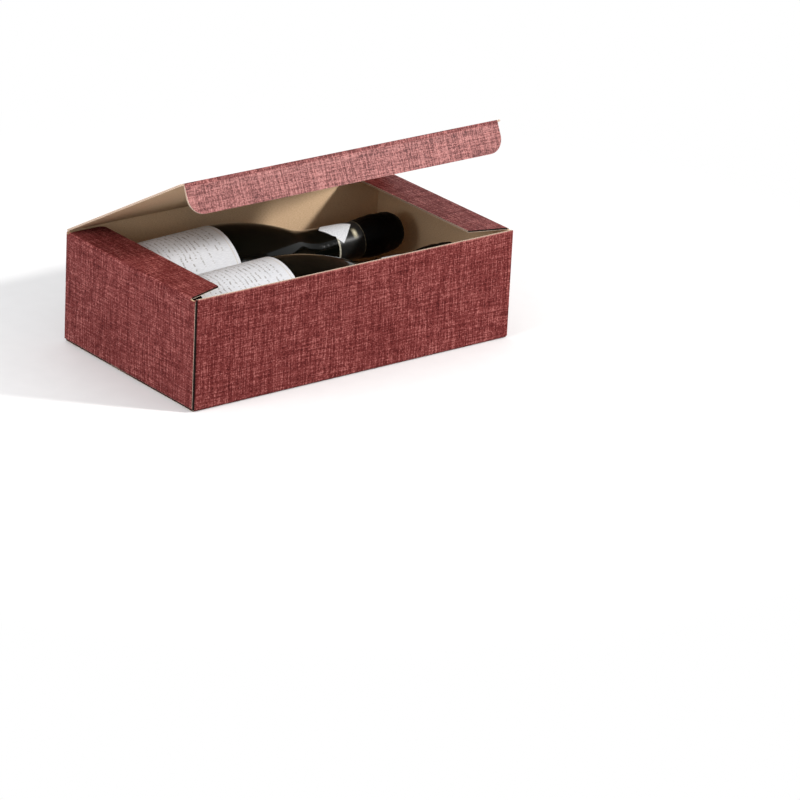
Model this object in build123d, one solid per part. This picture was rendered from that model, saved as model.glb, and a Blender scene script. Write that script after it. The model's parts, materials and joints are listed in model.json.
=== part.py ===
from build123d import *
import os
from math import atan, cos, radians, sin, sqrt, tan

# A folded gift box of fluted board that lies on its long side, with two bottles of sparkling wine in it.
# Millimetres. The origin is the middle of the base, on the surface that the box stands on.
# +X runs along the box to its right end, -Y is the front and +Z is up.

# Driving sizes: the box is cut round two bottles that lie side by side
bottle_length = 301.0
bottle_radius = 42.6
bottle_middle_gap = 0.8
bottle_wall_gap = 5.3
bottle_end_gap = 0.4
bottle_tip_room = 18.8
bottle_head_room = 5.7

# The board and its folds
board = 1.6
fold_radius = 2.4
lid_gap = 0.3
crease_gap = 0.3

# The lid, as the box stands open
lid_open_angle = 29.0
lid_side_inset = 0.5

# The tuck flap on the lid's front edge
tuck_depth = 26.0
tuck_side_inset = 4.0
tuck_corner_radius = 14.0
tuck_wall_gap = 1.2
tuck_lean_angle = 3.0

# The dust flaps on the end walls
dust_reach = 35.0
dust_back_gap = 2.4
dust_front_gap = 5.4
dust_front_taper = 11.0
dust_corner_radius = 5.0
dust_relief = 1.5

# The glued corner at the front left, where the sheet's two ends meet
glue_tab_width = 28.0
glue_tab_taper = 8.0
glue_tab_margin = 5.0
seam_setback = 0.4
seam_depth = 1.2

# The bottom: two long flaps outside, two end flaps inside
outer_flap_inset = 0.5
seam_groove = 0.8
seam_step = 18.0
end_flap_reach = 92.0
end_flap_taper = 30.0
end_flap_side_gap = 1.5
end_flap_root_gap = 0.3
end_flap_rise_angle = 2.1

# The bottles
bottle_heel_radius = 7.0
bottle_seat = 0.1
punt_depth = 26.0
punt_rim = 5.0
shoulder_length = 109.0
neck_length = 87.0
shoulder_bulge_share = 0.78
neck_radius = 18.4
mouth_radius = 13.9
mouth_depth = 11.0

# The foil hood over the cork
hood_length = 44.0
hood_skin = 0.4
hood_swell = 2.2
hood_swell_share = 0.52
hood_crown_radius = 16.8
hood_crown_length = 5.0
hood_tip_radius = 13.2
hood_round = 2.5

# Paper on the bottles
paper = 0.2
glue_line = 0.05
label_start = 23.0
label_lap = 8.0
label_arc_angle = 128.0
label_turn_angle = -8.0
collar_length = 28.4
collar_point = 11.5
collar_point_rise_share = 0.8

# Cuts run past what they cut by this much
overrun = 5.0

# The box over the outside of its walls
bottle_spacing = 2 * bottle_radius + bottle_middle_gap
end_flap_floor = board + end_flap_root_gap
box_length = 3 * board + bottle_end_gap + bottle_length + bottle_tip_room
box_depth = 2 * board + 2 * bottle_wall_gap + bottle_spacing + 2 * bottle_radius
box_height = end_flap_floor + 2 * board + 2 * bottle_radius + bottle_head_room

# Places that follow from the sizes above
half_length = box_length / 2
half_depth = box_depth / 2
half_board = board / 2
inner_half_length = half_length - board
inner_half_depth = half_depth - board
hinge_y = half_depth - half_board
hinge_z = box_height + lid_gap + half_board
crease_clear = half_board + crease_gap
lid_width = box_length - 2 * lid_side_inset
lid_reach = hinge_y + inner_half_depth - half_board - tuck_wall_gap
tuck_y = hinge_y - lid_reach
tuck_half_width = half_length - tuck_side_inset
end_flap_slope = tan(radians(end_flap_rise_angle))
punt_radius = bottle_radius - bottle_heel_radius - punt_rim
shoulder_end = bottle_length - neck_length
shoulder_start = shoulder_end - shoulder_length
label_length = shoulder_start + label_lap - label_start

lid_axis = Axis((0, hinge_y, hinge_z), (1, 0, 0))
tuck_axis = Axis((0, tuck_y, hinge_z), (1, 0, 0))


def prism_x(outline, start, end):
    """Extrudes an outline drawn in Y and Z from one X to another."""
    plane = Plane((start, 0, 0), x_dir=(0, 1, 0), z_dir=(1, 0, 0))
    return extrude(plane * outline, end - start)


def prism_y(outline, start, end):
    """Extrudes an outline drawn in X and Z from one Y to another."""
    plane = Plane((0, start, 0), x_dir=(1, 0, 0), z_dir=(0, -1, 0))
    return extrude(plane * outline, start - end)


def prism_z(outline, start, end):
    """Extrudes an outline drawn in X and Y from one Z to another."""
    return extrude(Plane((0, 0, start)) * outline, end - start)


def block(low_x, high_x, low_y, high_y, low_z, high_z):
    """A box between two corners."""
    return Pos(low_x, low_y, low_z) * Box(high_x - low_x, high_y - low_y, high_z - low_z, align=(Align.MIN,) * 3)


def closed_outline(*points):
    """A flat face inside straight edges."""
    return make_face(Polyline(*points, close=True))


def rounded(outline, radius, *corners):
    """Rounds the corners of an outline that lie nearest to the given points."""
    chosen = [outline.vertices().sort_by_distance(corner)[0] for corner in corners]
    return fillet(chosen, radius)


def wall_plan():
    """The walls from above: three folded corners, and the glued corner at the front left."""
    outline = rounded(
        Rectangle(box_length, box_depth),
        fold_radius,
        (half_length, -half_depth),
        (half_length, half_depth),
        (-half_length, half_depth),
    )
    corner_x = -inner_half_length
    corner_y = -half_depth
    wall_end = Pos(-half_length, corner_y) * Rectangle(2 * board, 2 * seam_setback)
    groove = Pos(corner_x, corner_y) * Rectangle(fold_radius, seam_depth, align=Align.MIN)
    fold = Pos(corner_x + fold_radius, corner_y + fold_radius) * Circle(fold_radius)
    return outline - wall_end - (groove - fold)


def long_section():
    """The outer outline across the box, with the bottom folds of the long walls."""
    top = box_height
    outline = closed_outline((-half_depth, 0), (half_depth, 0), (half_depth, top), (-half_depth, top))
    return rounded(outline, fold_radius, (-half_depth, 0), (half_depth, 0))


def end_section():
    """The outer outline along the box, with the folds at the feet and tops of the end walls."""
    top = box_height
    outline = closed_outline((-half_length, board), (half_length, board), (half_length, top), (-half_length, top))
    corners = [(side * half_length, height) for side in (-1, 1) for height in (board, top)]
    return rounded(outline, fold_radius, *corners)


def shell():
    """Four walls and the two long bottom flaps."""
    flap_end = inner_half_length - outer_flap_inset
    envelope = prism_y(end_section(), half_depth, -half_depth)
    envelope += block(-flap_end, flap_end, -half_depth, half_depth, 0, board + fold_radius)
    envelope &= prism_x(long_section(), -half_length, half_length)
    envelope &= prism_z(wall_plan(), 0, box_height)
    hollow = block(
        -inner_half_length, inner_half_length, -inner_half_depth, inner_half_depth, board, box_height + overrun
    )
    return envelope - hollow


def bottom_seam():
    """The stepped line on the underside where the two long flaps lock into each other."""
    reach = half_length + overrun
    depth = half_board
    half = seam_groove / 2
    left = block(-reach, half, seam_step - half, seam_step + half, -overrun, depth)
    right = block(-half, reach, -seam_step - half, -seam_step + half, -overrun, depth)
    across = block(-half, half, -seam_step - half, seam_step + half, -overrun, depth)
    return left + right + across


def end_flap():
    """An inner bottom flap on the left end wall, which springs up a little towards its free edge."""
    root = -half_length + half_board
    tip = -inner_half_length + end_flap_reach
    drop = end_flap_slope * half_board
    rise = end_flap_slope * end_flap_reach
    side = closed_outline(
        (root, end_flap_floor - drop),
        (tip, end_flap_floor + rise),
        (tip, end_flap_floor + rise + board),
        (root, end_flap_floor - drop + board),
    )
    half_width = inner_half_depth - end_flap_side_gap
    plan = closed_outline(
        (root, -half_width),
        (root, half_width),
        (tip - end_flap_taper, half_width),
        (tip, half_width - end_flap_taper),
        (tip, -half_width + end_flap_taper),
        (tip - end_flap_taper, -half_width),
    )
    return prism_y(side, half_depth, -half_depth) & prism_z(plan, 0, box_height)


def dust_flap():
    """The dust flap on the left end wall, folded in, with its front edge cut back for the tuck flap."""
    root = -half_length + half_board
    tip = -half_length + dust_reach
    back = inner_half_depth - dust_back_gap
    front = -inner_half_depth + dust_front_gap
    plan = closed_outline((root, front), (root, back), (tip, back), (tip, front + dust_front_taper))
    plan = rounded(plan, dust_corner_radius, (tip, back))
    return prism_z(plan, box_height - board, box_height)


def corner_reliefs():
    """Cuts at the ends of the left dust flap's fold, so that it folds clear of the long walls."""
    low = box_height - dust_relief
    high = box_height + overrun
    back = block(-half_length, -inner_half_length, inner_half_depth - dust_back_gap, inner_half_depth, low, high)
    front = block(-half_length, -inner_half_length, -inner_half_depth, -inner_half_depth + dust_front_gap, low, high)
    return back + front


def glue_tab():
    """The tab on the front wall's left edge, glued to the inside of the left wall."""
    root = -inner_half_depth - half_board
    tip = -inner_half_depth + glue_tab_width
    low = end_flap_floor + board + glue_tab_margin
    high = box_height - board - glue_tab_margin
    side = closed_outline((root, low), (tip, low + glue_tab_taper), (tip, high - glue_tab_taper), (root, high))
    return prism_x(side, -inner_half_length - half_board, -inner_half_length + board)


def hinge_edge():
    """The back wall's rounded top edge, which the lid folds on."""
    half_width = lid_width / 2 - fold_radius
    low = box_height - board
    strip = block(-half_width, half_width, inner_half_depth, half_depth, low, hinge_z)
    bead = prism_x(Pos(hinge_y, hinge_z) * Circle(half_board), -half_width, half_width)
    return strip + bead


def make_box():
    """The folded box: walls, bottom flaps, dust flaps and glue tab are one sheet."""
    left = (end_flap() + dust_flap()) & prism_y(end_section(), half_depth, -half_depth)
    right = mirror(left, Plane.YZ)
    cuts = corner_reliefs()
    body = shell() - bottom_seam() - cuts - mirror(cuts, Plane.YZ)
    tab = glue_tab() & prism_z(wall_plan(), 0, box_height)
    return body + left + right + tab + hinge_edge()


def make_lid():
    """The lid panel, open, with a rounded front edge that the tuck flap folds on."""
    half_width = lid_width / 2
    low = hinge_z - half_board
    high = hinge_z + half_board
    panel = block(-half_width, half_width, tuck_y, hinge_y - crease_clear, low, high)
    bead = prism_x(Pos(tuck_y, hinge_z) * Circle(half_board), -tuck_half_width, tuck_half_width)
    return (panel + bead).rotate(lid_axis, -lid_open_angle)


def make_tuck_flap():
    """The tuck flap with its rounded corners, folded a little past square and raised with the lid."""
    low = hinge_z - tuck_depth
    high = hinge_z - crease_clear
    outline = closed_outline(
        (-tuck_half_width, low), (tuck_half_width, low), (tuck_half_width, high), (-tuck_half_width, high)
    )
    outline = rounded(outline, tuck_corner_radius, (-tuck_half_width, low), (tuck_half_width, low))
    flap = prism_y(outline, tuck_y + half_board, tuck_y - half_board)
    return flap.rotate(tuck_axis, tuck_lean_angle).rotate(lid_axis, -lid_open_angle)


def shoulder_points():
    """Where the shoulder's outward arc ends and its inward arc begins, and the slope there."""
    run = shoulder_end - shoulder_start
    drop = bottle_radius - neck_radius
    turn = 2 * atan(drop / run)
    radius = shoulder_bulge_share * run / sin(turn)
    place = (shoulder_start + radius * sin(turn), bottle_radius - radius * (1 - cos(turn)))
    return place, (cos(turn), -sin(turn))


def mouth_start():
    """Where the glass ends, under the hood."""
    return bottle_length - mouth_depth


def neck_radius_at(place):
    """The glass's radius on the neck or the end of the shoulder, a given way along the bottle."""
    way = place - shoulder_end
    if way > 0:
        return neck_radius - way * (neck_radius - mouth_radius) / (mouth_start() - shoulder_end)
    turning, slope = shoulder_points()
    hollow_radius = (shoulder_end - turning[0]) / -slope[1]
    return neck_radius + hollow_radius - sqrt(hollow_radius**2 - way**2)


def turned(*edges):
    """A solid turned about the X axis from edges that end on that axis."""
    return revolve(make_face(Curve() + list(edges)), Axis.X)


def make_glass():
    """The bottle with its wine: punt, heel, straight body, long shoulder and tapered neck."""
    turning, slope = shoulder_points()
    foot = bottle_radius - bottle_heel_radius
    heel_middle = bottle_heel_radius * (1 - sqrt(2) / 2)
    heel = ThreePointArc(
        (0, foot), (heel_middle, bottle_radius - heel_middle), (bottle_heel_radius, bottle_radius)
    )
    dome_middle = punt_depth * (1 - (sqrt(2) / 2) ** 2)
    punt = ThreePointArc((punt_depth, 0), (dome_middle, punt_radius * sqrt(2) / 2), (0, punt_radius))
    end = mouth_start()
    return turned(
        punt,
        Line((0, punt_radius), (0, foot)),
        heel,
        Line((bottle_heel_radius, bottle_radius), (shoulder_start, bottle_radius)),
        TangentArc((shoulder_start, bottle_radius), turning, tangent=(1, 0)),
        TangentArc(turning, (shoulder_end, neck_radius), tangent=slope),
        Line((shoulder_end, neck_radius), (end, mouth_radius)),
        Line((end, mouth_radius), (end, 0)),
        Line((end, 0), (punt_depth, 0)),
    )


def make_hood():
    """The foil hood with the cork's swelling under it, seated on the neck."""
    start = bottle_length - hood_length
    crown = bottle_length - hood_crown_length
    end = mouth_start() + glue_line
    root = neck_radius_at(start) + glue_line
    swell_place = start + hood_swell_share * hood_length
    hood = turned(
        Line((start, root), (start, root + hood_skin)),
        ThreePointArc((start, root + hood_skin), (swell_place, root + hood_swell), (crown, hood_crown_radius)),
        Line((crown, hood_crown_radius), (bottle_length, hood_tip_radius)),
        Line((bottle_length, hood_tip_radius), (bottle_length, 0)),
        Line((bottle_length, 0), (end, 0)),
        Line((end, 0), (end, neck_radius_at(end) + glue_line)),
        Line((end, neck_radius_at(end) + glue_line), (start, root)),
    )
    rim = hood.edges().filter_by(GeomType.CIRCLE).sort_by(Axis.X)[-1]
    return fillet(rim, hood_round)


def make_label():
    """The paper label glued round the upper side of the body."""
    inner = bottle_radius + glue_line
    outer = inner + paper
    sheet = turned(
        Line((label_start, inner), (label_start + label_length, inner)),
        Line((label_start + label_length, inner), (label_start + label_length, outer)),
        Line((label_start + label_length, outer), (label_start, outer)),
        Line((label_start, outer), (label_start, inner)),
    )
    reach = outer + overrun
    half_arc = radians(label_arc_angle / 2)
    wedge = closed_outline((0, 0), (reach * tan(half_arc), reach), (-reach * tan(half_arc), reach))
    return sheet & prism_x(wedge, 0, bottle_length)


def neck_edges(start, end, skin):
    """The neck's outline between two places, a given way outside the glass."""
    straight = max(start, shoulder_end)
    ends = [(place, neck_radius_at(place) + skin) for place in (straight, end)]
    edges = [Line(*ends)]
    if start < shoulder_end:
        places = (start, (start + shoulder_end) / 2, shoulder_end)
        edges.append(ThreePointArc(*[(place, neck_radius_at(place) + skin) for place in places]))
    return edges


def make_collar():
    """The neck band below the hood, with a point towards the body on its upper side."""
    end = bottle_length - hood_length - glue_line
    band = end - collar_length
    point = band - collar_point
    inner = glue_line
    outer = glue_line + paper
    rims = [
        Line((place, neck_radius_at(place) + inner), (place, neck_radius_at(place) + outer))
        for place in (point, end)
    ]
    sleeve = turned(*neck_edges(point, end, inner), *neck_edges(point, end, outer), *rims)
    reach = neck_radius_at(point) + outer
    rise = collar_point_rise_share * reach
    far = end + overrun
    cut = closed_outline((band, -reach), (band, rise), (point, reach), (far, reach), (far, -reach))
    return sleeve & prism_y(cut, reach, -reach)


def laid(piece, place_y):
    """Lays a piece of a bottle along the box, on the risen end flap."""
    start = -inner_half_length + board + bottle_end_gap + bottle_radius * sin(radians(end_flap_rise_angle))
    height = end_flap_floor + board + (bottle_radius + bottle_seat) / cos(radians(end_flap_rise_angle))
    height += end_flap_slope * (start + inner_half_length)
    turned_piece = piece.rotate(Axis.X, -label_turn_angle)
    return Pos(start, place_y, height) * turned_piece.rotate(Axis.Y, -end_flap_rise_angle)


def make_nodes():
    """Every piece by its node's name."""
    nodes = {"box_body": make_box(), "lid_panel": make_lid(), "tuck_flap": make_tuck_flap()}
    bottle = {"glass": make_glass(), "foil_hood": make_hood(), "label": make_label(), "neck_collar": make_collar()}
    for side, place_y in (("rear", bottle_spacing / 2), ("front", -bottle_spacing / 2)):
        for name, piece in bottle.items():
            nodes[f"{side}_bottle_{name}"] = laid(piece, place_y)
    return nodes


os.makedirs("parts", exist_ok=True)
for name, piece in make_nodes().items():
    export_step(piece, f"parts/{name}.step")
    print(name, "solids", len(piece.solids()), "volume", round(piece.volume), "valid", piece.is_valid)
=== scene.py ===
# %% [markdown]
# # A linen-paper gift box for two bottles
# The real box is one sheet of thin fluted board, covered outside with embossed linen paper and bare kraft
# inside. It lies on its long side with the lid raised and two bottles of sparkling wine in it. The sizes
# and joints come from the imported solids, and this lesson gives every surface its own finish around them.

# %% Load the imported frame
import json
import math
import bmesh
import bpy
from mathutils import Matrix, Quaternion, Vector, noise


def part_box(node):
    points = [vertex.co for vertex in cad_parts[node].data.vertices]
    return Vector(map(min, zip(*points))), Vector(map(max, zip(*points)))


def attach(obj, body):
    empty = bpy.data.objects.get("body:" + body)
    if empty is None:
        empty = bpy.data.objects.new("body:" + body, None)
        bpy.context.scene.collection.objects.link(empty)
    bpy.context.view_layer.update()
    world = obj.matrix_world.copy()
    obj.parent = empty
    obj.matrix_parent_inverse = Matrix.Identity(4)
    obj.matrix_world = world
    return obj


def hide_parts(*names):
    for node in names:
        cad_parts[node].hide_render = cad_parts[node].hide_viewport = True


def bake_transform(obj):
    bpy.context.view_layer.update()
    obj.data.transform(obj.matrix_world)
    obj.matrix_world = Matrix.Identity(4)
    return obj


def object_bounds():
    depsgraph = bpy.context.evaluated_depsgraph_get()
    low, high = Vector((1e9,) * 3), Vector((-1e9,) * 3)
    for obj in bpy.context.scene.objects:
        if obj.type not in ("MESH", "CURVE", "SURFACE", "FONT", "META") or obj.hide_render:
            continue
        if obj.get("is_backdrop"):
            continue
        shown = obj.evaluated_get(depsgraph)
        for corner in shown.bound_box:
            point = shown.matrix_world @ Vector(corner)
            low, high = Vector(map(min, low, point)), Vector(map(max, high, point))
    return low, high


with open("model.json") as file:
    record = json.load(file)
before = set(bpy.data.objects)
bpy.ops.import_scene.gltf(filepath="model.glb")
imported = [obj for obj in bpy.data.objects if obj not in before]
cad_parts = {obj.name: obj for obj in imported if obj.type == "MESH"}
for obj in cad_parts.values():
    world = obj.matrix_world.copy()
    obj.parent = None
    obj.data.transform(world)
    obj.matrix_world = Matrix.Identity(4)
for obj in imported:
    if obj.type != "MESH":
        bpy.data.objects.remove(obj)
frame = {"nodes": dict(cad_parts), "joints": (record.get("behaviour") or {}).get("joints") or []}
cad_low, cad_high = [list(corner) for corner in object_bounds()]
print("nodes", sorted(frame["nodes"]))
print("solid model from", cad_low, "to", cad_high)

# %% [markdown]
# ## The sizes that the looks depend on
# Everything is in metres. The joints say where the lid and the tuck flap fold, and how far the lid stands
# open. At its last angle the tuck flap is flat with the lid, so what that has over a right angle is the
# flap's lean. The board's thickness and the walls' height are not in the frame, so they are written here
# once.

# %% Sizes and panel directions
BOARD = 0.0016
WALL_TOP = 0.096
HALF_LENGTH = cad_high[0]
HALF_DEPTH = cad_high[1]
joints = {joint["name"]: joint for joint in frame["joints"]}
lid_pivot = Vector(joints["lid_fold"]["pos_m"])
tuck_pivot = Vector(joints["tuck_fold"]["pos_m"])
lid_angle = math.radians(-joints["lid_fold"]["range_deg"][0])
tuck_lean = math.radians(joints["tuck_fold"]["range_deg"][1] - 90)

lid_out = Vector((0, math.sin(lid_angle), math.cos(lid_angle)))
lid_away = Vector((0, -math.cos(lid_angle), math.sin(lid_angle)))
tuck_angle = lid_angle - tuck_lean
tuck_out = Vector((0, -math.cos(tuck_angle), math.sin(tuck_angle)))
tuck_away = Vector((0, -math.sin(tuck_angle), -math.cos(tuck_angle)))
print("lid open by", round(math.degrees(lid_angle)), "degrees")
print("tuck flap faces", [round(x, 2) for x in tuck_out])

# %% [markdown]
# ## Building finishes from nodes
# A finish could be painted as an image, but then it has one resolution and one place. Nodes compute it from
# the surface itself, so a close view still has threads and fibres. One helper adds a node, sets its values
# and joins its inputs, which keeps each recipe readable.

# %% Node helpers
def add(tree, kind, values=None, **settings):
    """Adds a shader node, with settings by attribute and values or links by input name."""
    made = tree.nodes.new("ShaderNode" + kind)
    for name, value in settings.items():
        setattr(made, name, value)
    for socket, value in (values or {}).items():
        if isinstance(value, bpy.types.NodeSocket):
            tree.links.new(value, made.inputs[socket])
        else:
            made.inputs[socket].default_value = value
    return made


def maths(tree, operation, *values, clamp=False):
    """One step of arithmetic on one, two or three values; gives its result socket."""
    return add(tree, "Math", dict(enumerate(values)), operation=operation, use_clamp=clamp).outputs[0]


def ranged(tree, value, low, high, new_low=0.0, new_high=1.0):
    """Maps a range of a value onto another, with smooth ends."""
    return add(
        tree,
        "MapRange",
        {"Value": value, "From Min": low, "From Max": high, "To Min": new_low, "To Max": new_high},
        interpolation_type="SMOOTHSTEP",
    ).outputs["Result"]


def tint(red, green, blue):
    """A colour as it is seen on a screen, 0 to 255, as the linear colour that nodes use."""
    shares = [channel / 255 for channel in (red, green, blue)]
    return tuple(s / 12.92 if s <= 0.04045 else ((s + 0.055) / 1.055) ** 2.4 for s in shares) + (1.0,)


def blended(tree, share, first, second):
    """Mixes two colours by a share; gives the colour socket."""
    return add(tree, "MixRGB", {"Fac": share, "Color1": first, "Color2": second}).outputs[0]


def ramp(tree, value, *stops):
    """A colour ramp with the given places and colours."""
    made = add(tree, "ValToRGB", {"Fac": value})
    elements = made.color_ramp.elements
    while len(elements) < len(stops):
        elements.new(0.5)
    for element, (place, colour) in zip(elements, stops):
        element.position = place
        element.color = colour
    return made.outputs["Color"]


print("node helpers ready")

# %% [markdown]
# Every finish here is paper, foil or glass with one main shader and one bump, so a second set of helpers
# makes those. Each piece carries a flat map in metres. Noise on that map is the grain of a material, and
# two near colours mixed by its grain keep any surface from being one flat colour.

# %% Finish helpers
FLAT_MAP = "weave"


def new_finish(name):
    """A material with an empty node tree and an output; gives the material and its tree."""
    finish = bpy.data.materials.new(name)
    finish.use_nodes = True
    tree = finish.node_tree
    tree.nodes.clear()
    add(tree, "OutputMaterial")
    return finish, tree


def show(tree, shader):
    """Joins a shader to the finish's output."""
    output = next(node for node in tree.nodes if node.bl_idname == "ShaderNodeOutputMaterial")
    tree.links.new(shader.outputs[0], output.inputs["Surface"])


def coat(tree, colour, roughness, gloss, relief, strength, depth, pressed=False):
    """The main shader of a finish, with its relief as a bump of some depth in metres."""
    bump = add(tree, "Bump", {"Height": relief, "Strength": strength, "Distance": depth}, invert=pressed)
    values = {"Base Color": colour, "Roughness": roughness, "Specular IOR Level": gloss}
    show(tree, add(tree, "BsdfPrincipled", {**values, "Normal": bump.outputs["Normal"]}))


def map_ways(tree):
    """The two ways of a piece's own flat map, in metres."""
    place = add(tree, "UVMap", uv_map=FLAT_MAP).outputs["UV"]
    return add(tree, "SeparateXYZ", {"Vector": place}).outputs


def grain(tree, across, along, shift, detail=2.0):
    """Noise on a piece's own flat map, with so many cells per metre each way."""
    place = add(tree, "UVMap", uv_map=FLAT_MAP).outputs["UV"]
    scaled = add(tree, "Mapping", {"Vector": place, "Scale": (across, along, 1), "Location": (0, 0, shift)})
    values = {"Vector": scaled.outputs["Vector"], "Scale": 1.0, "Detail": detail}
    return add(tree, "TexNoise", values, noise_dimensions="3D").outputs["Fac"]


def mottled(tree, grains, first, second):
    """Two near colours of one material, mixed by the middle of its grain's range."""
    return blended(tree, ranged(tree, grains, 0.3, 0.7), tint(*first), tint(*second))


print("finish helpers ready, on the map", FLAT_MAP)

# %% [markdown]
# ## The linen paper
# The cover paper is dyed wine red and embossed with a linen weave: fine crossing threads, some thicker and
# paler. An even net of threads would look like a machine grid, and stretched noise clumps into blots from a
# step away. So each thread is made as a row of raised floats, as in a real weave: white noise gives every
# float its own height, each row starts at its own place, and a slow sway keeps the rows from being ruled.
# Floats of two lengths run both ways: short ones speckle the paper, and long ones are the slubs of linen
# yarn.

# %% Linen weave
THREAD = 0.0008
FLOAT = 0.0014
SLUB = 0.02
WEAVE_SHARES = ((0, FLOAT, 0.26), (1, FLOAT, 0.22), (0, SLUB, 0.29), (1, SLUB, 0.23))
FIRST_SEED = 3.0
SEED_STEP = 5.0
SWAY_CELLS = 40
SWAY_THREADS = 0.5
EDGE_HEIGHT = 0.5
CROWN_HEIGHT = 0.4


def floats(tree, axis, seed, length):
    """Height of threads that lie side by side along an axis of the map, as rows of floats of one length."""
    ways = map_ways(tree)
    sway = maths(tree, "MULTIPLY", grain(tree, SWAY_CELLS, SWAY_CELLS, seed), SWAY_THREADS)
    across = maths(tree, "ADD", maths(tree, "DIVIDE", ways[axis], THREAD), sway)
    row = maths(tree, "ADD", maths(tree, "FLOOR", across), seed)
    start = add(tree, "TexWhiteNoise", {"W": row}, noise_dimensions="1D").outputs["Value"]
    along = maths(tree, "ADD", maths(tree, "DIVIDE", ways[1 - axis], length), start)
    own_place = add(tree, "CombineXYZ", {0: row, 1: maths(tree, "FLOOR", along)}).outputs[0]
    height = add(tree, "TexWhiteNoise", {"Vector": own_place}, noise_dimensions="2D").outputs["Value"]
    crown = maths(tree, "SINE", maths(tree, "MULTIPLY", maths(tree, "FRACT", across), math.pi))
    swell = maths(tree, "SINE", maths(tree, "MULTIPLY", maths(tree, "FRACT", along), math.pi))
    raised = maths(tree, "MULTIPLY_ADD", maths(tree, "MULTIPLY", crown, swell), CROWN_HEIGHT, EDGE_HEIGHT)
    return maths(tree, "MULTIPLY", height, raised)


def linen_height(tree):
    """Height of the embossed weave, about 0 to 0.8: short floats, and long slubs among them."""
    height = 0.0
    for order, (axis, length, share) in enumerate(WEAVE_SHARES):
        threads = floats(tree, axis, FIRST_SEED + SEED_STEP * order, length)
        height = maths(tree, "ADD", maths(tree, "MULTIPLY", threads, share), height)
    return height


def linen_colour(tree, height):
    """Deep red in the hollows of the weave, dusty pink on its threads, with slow clouds of darker red."""
    # The hollows' deep red is painted shade; the threads' pink is rubbing with a painted highlight.
    woven = ramp(
        tree,
        ranged(tree, height, -0.1, 0.76),
        (0.0, tint(52, 10, 12)),
        (0.35, tint(96, 37, 36)),
        (0.65, tint(130, 63, 61)),
        (1.0, tint(196, 124, 118)),
    )
    cloud = grain(tree, 22, 22, 21.0)
    return blended(tree, ranged(tree, cloud, 0.35, 0.65, 0.0, 0.12), woven, tint(97, 33, 32))


print("linen threads every", THREAD * 1000, "mm, floats of", FLOAT * 1000, "and", SLUB * 1000, "mm")

# %% [markdown]
# ## Where the linen is rubbed, shaded and bent
# Paper over board is rubbed pale where it is touched, on the rounded folds. The upper edges of the front and
# back walls are made paler too, and the tuck flap's raised threads carry a painted sheen all over. Painted
# wear would have to be placed by hand on every panel. Here it follows the surface's own facing and height,
# and the weave breaks it up. The glued corner gets a painted shade, the darkest line of the box, where the
# front wall's fold runs in behind a cut edge. The tuck flap comes off its fold with a slow bend, which is a
# height over its map and only turns the light.

# %% Linen wear and shade
PALE_LIP = 0.0016
SEAM_SHADE = 0.0014
BEND = 0.009
BEND_DROP = 3.0


def fold_wear_and_pale_lip(tree, height):
    """Pale rubbing where the surface turns between two walls, and a paler upper lip, broken up by the weave.
    """
    shape = add(tree, "NewGeometry").outputs
    plain = add(tree, "VectorMath", {0: shape["Normal"]}, operation="ABSOLUTE").outputs[0]
    parts = add(tree, "SeparateXYZ", {"Vector": plain}).outputs
    widest = maths(tree, "MAXIMUM", maths(tree, "MAXIMUM", parts[0], parts[1]), parts[2])
    turning = ranged(tree, widest, 0.98, 0.72)
    patchy = ranged(tree, height, 0.3, 0.6, 0.0, 0.3)
    rise = add(tree, "SeparateXYZ", {"Vector": shape["Position"]}).outputs[2]
    near_top = ranged(tree, rise, WALL_TOP - PALE_LIP, WALL_TOP)
    edge = maths(tree, "MULTIPLY", near_top, ranged(tree, parts[1], 0.9, 0.98))
    edge = maths(tree, "MULTIPLY", edge, ranged(tree, height, 0.15, 0.5, 0.3, 1.0))
    return maths(tree, "MAXIMUM", maths(tree, "MULTIPLY", turning, patchy), edge)


def light_wear(tree, height):
    """A flat panel, rubbed only on its very highest threads."""
    return ranged(tree, height, 0.5, 0.8, 0.0, 0.25)


def painted_tuck_sheen(tree, height):
    """The tuck flap's raised threads painted pale all over: a painted sheen for the lamp's glare on this
    flap.
    """
    return ranged(tree, height, 0.12, 0.6, 0.0, 0.55)


def crease_wear(tree, height):
    """A pressed crease, where the paper's dye has cracked a little all along."""
    return ranged(tree, height, 0.3, 0.6, 0.0, 0.3)


def seam_shade(tree):
    """Painted shade at the glued corner, where the front wall's fold runs in behind the end wall's cut edge.
    """
    shape = add(tree, "NewGeometry").outputs
    across = add(tree, "SeparateXYZ", {"Vector": shape["Position"]}).outputs[0]
    in_from_end = maths(tree, "ADD", across, HALF_LENGTH)
    facing = add(tree, "SeparateXYZ", {"Vector": shape["Normal"]}).outputs[1]
    at_seam = ranged(tree, in_from_end, BOARD + SEAM_SHADE, BOARD + SEAM_SHADE / 2)
    past_edge = maths(tree, "GREATER_THAN", in_from_end, BOARD / 2)
    in_seam = maths(tree, "MULTIPLY", at_seam, past_edge)
    return maths(tree, "MULTIPLY", in_seam, ranged(tree, facing, -0.1, -0.3))


def soft_fold(tree):
    """The tuck flap's slow bend just below its fold, as a height over its flat map."""
    down = maths(tree, "SUBTRACT", map_ways(tree)[1], tuck_away.dot(tuck_pivot))
    share = maths(tree, "SUBTRACT", 1.0, maths(tree, "DIVIDE", down, BEND), clamp=True)
    return maths(tree, "MULTIPLY", maths(tree, "MULTIPLY", share, share), -BEND_DROP)


print("upper edges rubbed over", PALE_LIP * 1000, "mm, tuck flap bent over", BEND * 1000, "mm")
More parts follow.
